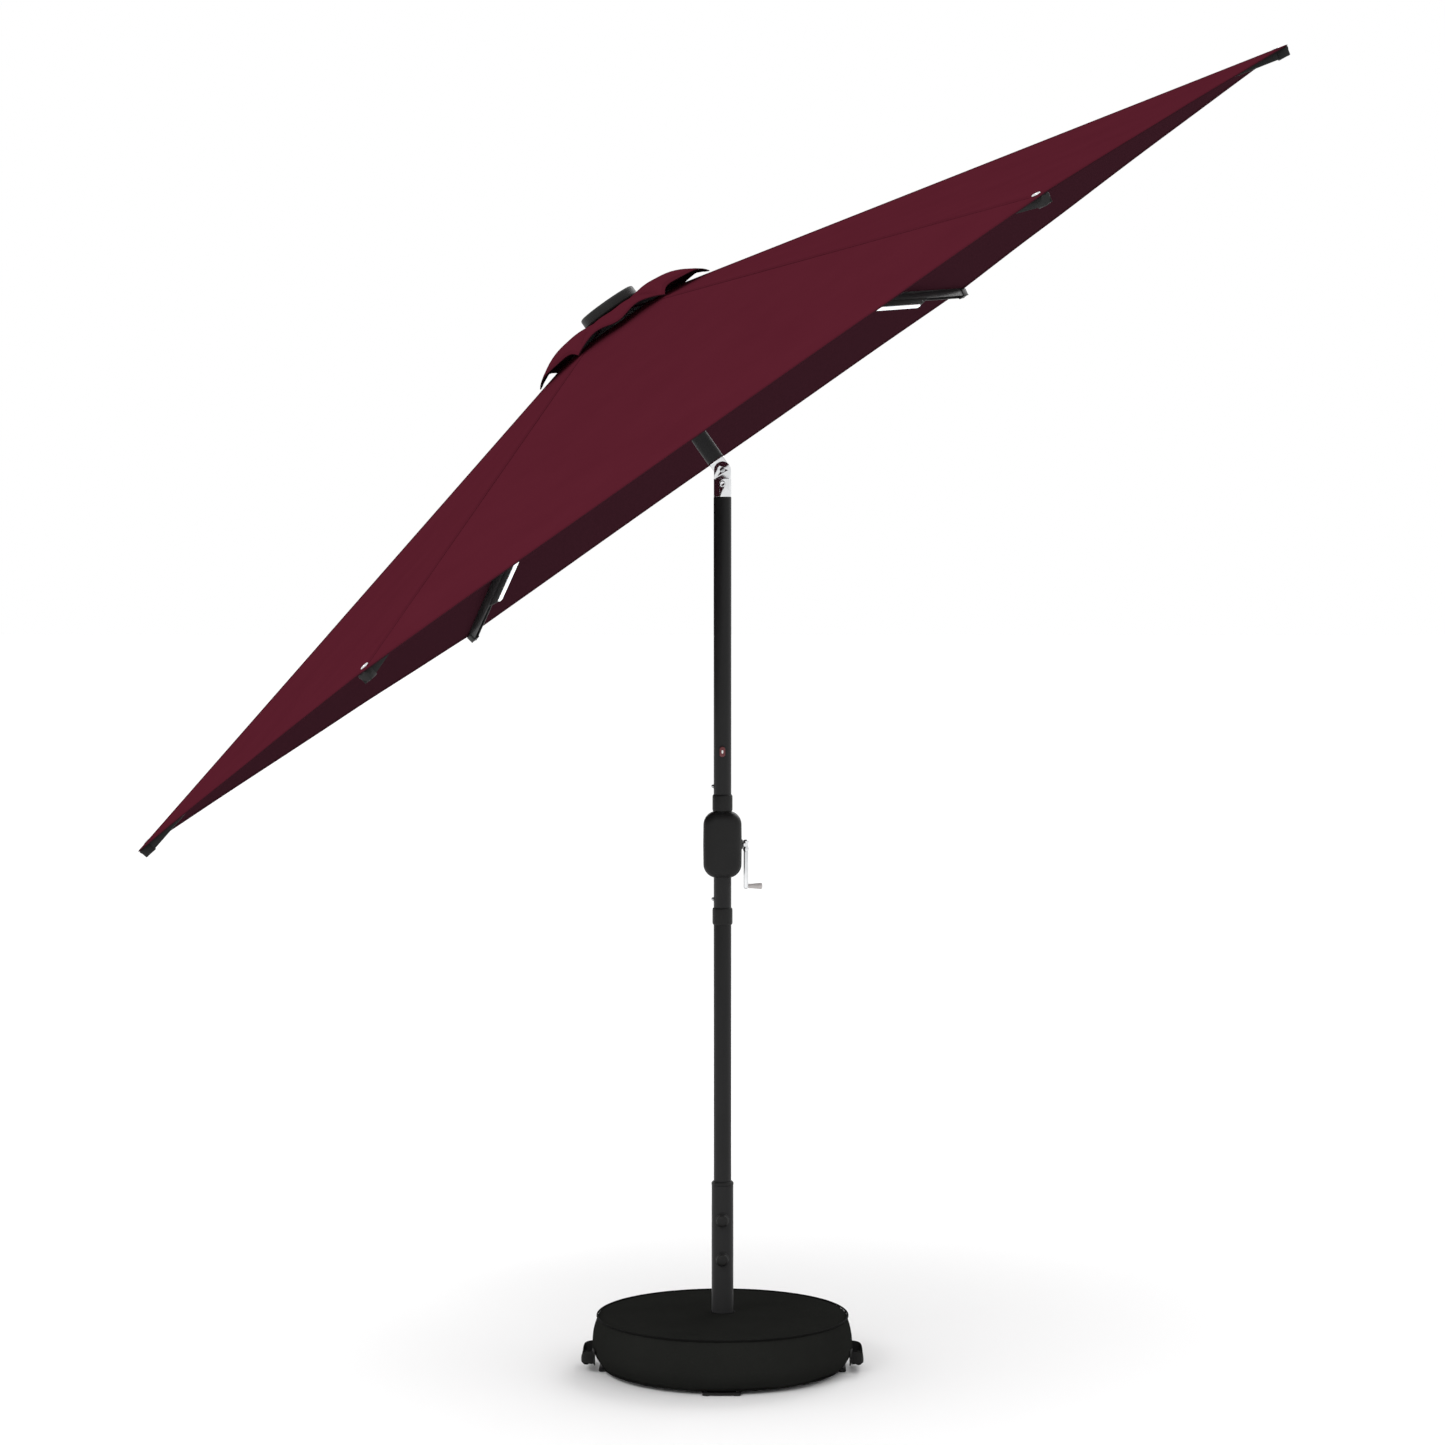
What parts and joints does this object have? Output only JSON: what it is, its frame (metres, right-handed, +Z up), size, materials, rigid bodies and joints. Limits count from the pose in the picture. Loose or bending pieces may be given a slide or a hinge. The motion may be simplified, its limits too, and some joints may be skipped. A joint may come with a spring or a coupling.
{
  "type": "crank and tilt patio umbrella",
  "caption": "Tilting crank umbrella with a hexagonal burgundy canopy, solar light bars and a cross base held down by a round weight bag.",
  "frame": {"origin": "on the ground, on the axis of the upright pole, under the centre of the cross base", "axes": "+Z up along the pole; the canopy leans towards -X and its far edge rises towards +X; the crank is on +X; the clamp knobs, light switch and tilt button face -Y"},
  "size_m": [2.4627, 2.5992, 2.8413],
  "materials": {
    "powder_coat": "near-black powder coat, fine orange peel, satin",
    "black_plastic": "near-black moulded plastic, fine grain",
    "chrome": "bright chrome plating",
    "steel": "plain bright steel",
    "canopy_fabric": "burgundy woven polyester, matte",
    "bag_fabric": "near-black coated woven cloth, matte",
    "red_button": "red translucent plastic, smooth",
    "pale_plastic": "pale plastic, smooth",
    "solar_glass": "dark solar cells under clear glass",
    "light_diffuser": "white frosted diffuser",
    "piping": "black binding tape and piping"
  },
  "bodies": {
    "base": {"base_cross": "powder_coat", "foot_right": "black_plastic", "foot_back": "black_plastic", "foot_left": "black_plastic", "foot_front": "black_plastic", "base_tube": "powder_coat", "weight_bag": "bag_fabric", "bag_handle_right": "bag_fabric", "bag_handle_left": "bag_fabric"},
    "knob_lower": {"knob_lower": "black_plastic"},
    "knob_upper": {"knob_upper": "black_plastic"},
    "bush": {"tube_collar": "black_plastic"},
    "pole": {"lower_pole": "powder_coat", "crank_pole": "powder_coat", "upper_pole": "powder_coat", "lower_collar": "black_plastic", "upper_collar": "black_plastic", "housing_front": "black_plastic", "housing_rear": "black_plastic", "tilt_clevis": "chrome", "tilt_pin": "steel"},
    "light_switch": {"light_switch": "red_button"},
    "snap_lower": {"snap_button_lower": "steel"},
    "snap_upper": {"snap_button_upper": "steel"},
    "crank": {"winding_drum": "steel", "crank_arm": "chrome"},
    "grip": {"crank_grip": "pale_plastic"},
    "tilt_button": {"tilt_button": "chrome"},
    "mast": {"tilt_knuckle": "chrome", "mast_tube": "powder_coat", "crown_hub": "black_plastic", "crown_pulley": "steel", "vent_cap": "canopy_fabric", "solar_cap": "black_plastic", "solar_panel": "solar_glass"},
    "runner": {"runner": "black_plastic"},
    "rib_1": {"rib_1": "powder_coat", "light_bar_1": "black_plastic", "canopy_panel_1": "canopy_fabric"},
    "strut_1": {"strut_1": "powder_coat"},
    "rib_2": {"rib_2": "powder_coat", "light_bar_2": "black_plastic", "canopy_panel_2": "canopy_fabric"},
    "strut_2": {"strut_2": "powder_coat"},
    "rib_3": {"rib_3": "powder_coat", "light_bar_3": "black_plastic", "canopy_panel_3": "canopy_fabric"},
    "strut_3": {"strut_3": "powder_coat"},
    "rib_4": {"rib_4": "powder_coat", "light_bar_4": "black_plastic", "canopy_panel_4": "canopy_fabric"},
    "strut_4": {"strut_4": "powder_coat"},
    "rib_5": {"rib_5": "powder_coat", "light_bar_5": "black_plastic", "canopy_panel_5": "canopy_fabric"},
    "strut_5": {"strut_5": "powder_coat"},
    "rib_6": {"rib_6": "powder_coat", "light_bar_6": "black_plastic", "canopy_panel_6": "canopy_fabric"},
    "strut_6": {"strut_6": "powder_coat"}
  },
  "joints": [
    {"name": "knob_lower_turn", "type": "hinge", "parent": "base", "child": "knob_lower", "pos_m": [0, -0.03, 0.242], "axis": [0, -1, 0], "range_deg": [0, 720]},
    {"name": "knob_upper_turn", "type": "hinge", "parent": "base", "child": "knob_upper", "pos_m": [0, -0.03, 0.327], "axis": [0, -1, 0], "range_deg": [0, 720]},
    {"name": "pole_turn", "type": "hinge", "parent": "base", "child": "bush", "pos_m": [0, 0, 0.4], "axis": [0, 0, 1], "continuous": true},
    {"name": "pole_lift", "type": "slide", "parent": "bush", "child": "pole", "axis": [0, 0, 1], "range_m": [0, 0.3]},
    {"name": "light_switch_press", "type": "slide", "parent": "pole", "child": "light_switch", "axis": [0, 1, 0], "range_m": [0, 0.0015], "stiffness_N_per_m": 400},
    {"name": "snap_lower_press", "type": "slide", "parent": "pole", "child": "snap_lower", "axis": [1, 0, 0], "range_m": [0, 0.005], "stiffness_N_per_m": 400},
    {"name": "snap_upper_press", "type": "slide", "parent": "pole", "child": "snap_upper", "axis": [1, 0, 0], "range_m": [0, 0.005], "stiffness_N_per_m": 400},
    {"name": "tilt_button_press", "type": "slide", "parent": "pole", "child": "tilt_button", "axis": [0, 1, 0], "range_m": [0, 0.0028], "stiffness_N_per_m": 400},
    {"name": "tilt", "type": "hinge", "parent": "pole", "child": "mast", "pos_m": [0, 0, 1.94], "axis": [0, 1, 0], "range_deg": [0, 35]},
    {"name": "canopy_lift", "type": "slide", "parent": "mast", "child": "runner", "axis": [0.5736, 0, -0.8192], "range_m": [0, 0.14]},
    {"name": "crank_turn", "type": "hinge", "parent": "pole", "child": "crank", "pos_m": [0, 0, 1.137], "axis": [1, 0, 0], "range_deg": [0, 645]},
    {"name": "grip_spin", "type": "hinge", "parent": "crank", "child": "grip", "pos_m": [0.07, 0, 1.047], "axis": [1, 0, 0], "continuous": true},
    {"name": "rib_1_fold", "type": "hinge", "parent": "mast", "child": "rib_1", "pos_m": [-0.20022, 0, 2.27825], "axis": [0, 1, 0], "range_deg": [0, 5.2]},
    {"name": "strut_1_fold", "type": "hinge", "parent": "runner", "child": "strut_1", "pos_m": [-0.08059, 0, 2.11786], "axis": [0, -1, 0], "range_deg": [0, 9]},
    {"name": "rib_2_fold", "type": "hinge", "parent": "mast", "child": "rib_2", "pos_m": [-0.21251, 0.02598, 2.26965], "axis": [-0.7094, 0.5, -0.4967], "range_deg": [0, 5.2]},
    {"name": "strut_2_fold", "type": "hinge", "parent": "runner", "child": "strut_2", "pos_m": [-0.09534, 0.03118, 2.10754], "axis": [0.7094, -0.5, 0.4967], "range_deg": [0, 9]},
    {"name": "rib_3_fold", "type": "hinge", "parent": "mast", "child": "rib_3", "pos_m": [-0.23708, 0.02598, 2.25244], "axis": [-0.7094, -0.5, -0.4967], "range_deg": [0, 5.2]},
    {"name": "strut_3_fold", "type": "hinge", "parent": "runner", "child": "strut_3", "pos_m": [-0.12483, 0.03118, 2.08689], "axis": [0.7094, 0.5, 0.4967], "range_deg": [0, 9]},
    {"name": "rib_4_fold", "type": "hinge", "parent": "mast", "child": "rib_4", "pos_m": [-0.24937, 0, 2.24383], "axis": [0, -1, 0], "range_deg": [0, 5.2]},
    {"name": "strut_4_fold", "type": "hinge", "parent": "runner", "child": "strut_4", "pos_m": [-0.13957, 0, 2.07656], "axis": [0, 1, 0], "range_deg": [0, 9]},
    {"name": "rib_5_fold", "type": "hinge", "parent": "mast", "child": "rib_5", "pos_m": [-0.23708, -0.02598, 2.25244], "axis": [0.7094, -0.5, 0.4967], "range_deg": [0, 5.2]},
    {"name": "strut_5_fold", "type": "hinge", "parent": "runner", "child": "strut_5", "pos_m": [-0.12483, -0.03118, 2.08689], "axis": [-0.7094, 0.5, -0.4967], "range_deg": [0, 9]},
    {"name": "rib_6_fold", "type": "hinge", "parent": "mast", "child": "rib_6", "pos_m": [-0.21251, -0.02598, 2.26965], "axis": [0.7094, 0.5, 0.4967], "range_deg": [0, 5.2]},
    {"name": "strut_6_fold", "type": "hinge", "parent": "runner", "child": "strut_6", "pos_m": [-0.09534, -0.03118, 2.10754], "axis": [-0.7094, -0.5, -0.4967], "range_deg": [0, 9]}
  ],
  "couplings": [
    {"joint": "crank_turn", "follows": "canopy_lift", "rad_per_m": 80},
    {"joint": "rib_1_fold", "follows": "canopy_lift", "rad_per_m": 0.63982},
    {"joint": "strut_1_fold", "follows": "canopy_lift", "rad_per_m": 1.1101},
    {"joint": "rib_2_fold", "follows": "canopy_lift", "rad_per_m": 0.63982},
    {"joint": "strut_2_fold", "follows": "canopy_lift", "rad_per_m": 1.1101},
    {"joint": "rib_3_fold", "follows": "canopy_lift", "rad_per_m": 0.63982},
    {"joint": "strut_3_fold", "follows": "canopy_lift", "rad_per_m": 1.1101},
    {"joint": "rib_4_fold", "follows": "canopy_lift", "rad_per_m": 0.63982},
    {"joint": "strut_4_fold", "follows": "canopy_lift", "rad_per_m": 1.1101},
    {"joint": "rib_5_fold", "follows": "canopy_lift", "rad_per_m": 0.63982},
    {"joint": "strut_5_fold", "follows": "canopy_lift", "rad_per_m": 1.1101},
    {"joint": "rib_6_fold", "follows": "canopy_lift", "rad_per_m": 0.63982},
    {"joint": "strut_6_fold", "follows": "canopy_lift", "rad_per_m": 1.1101}
  ]
}
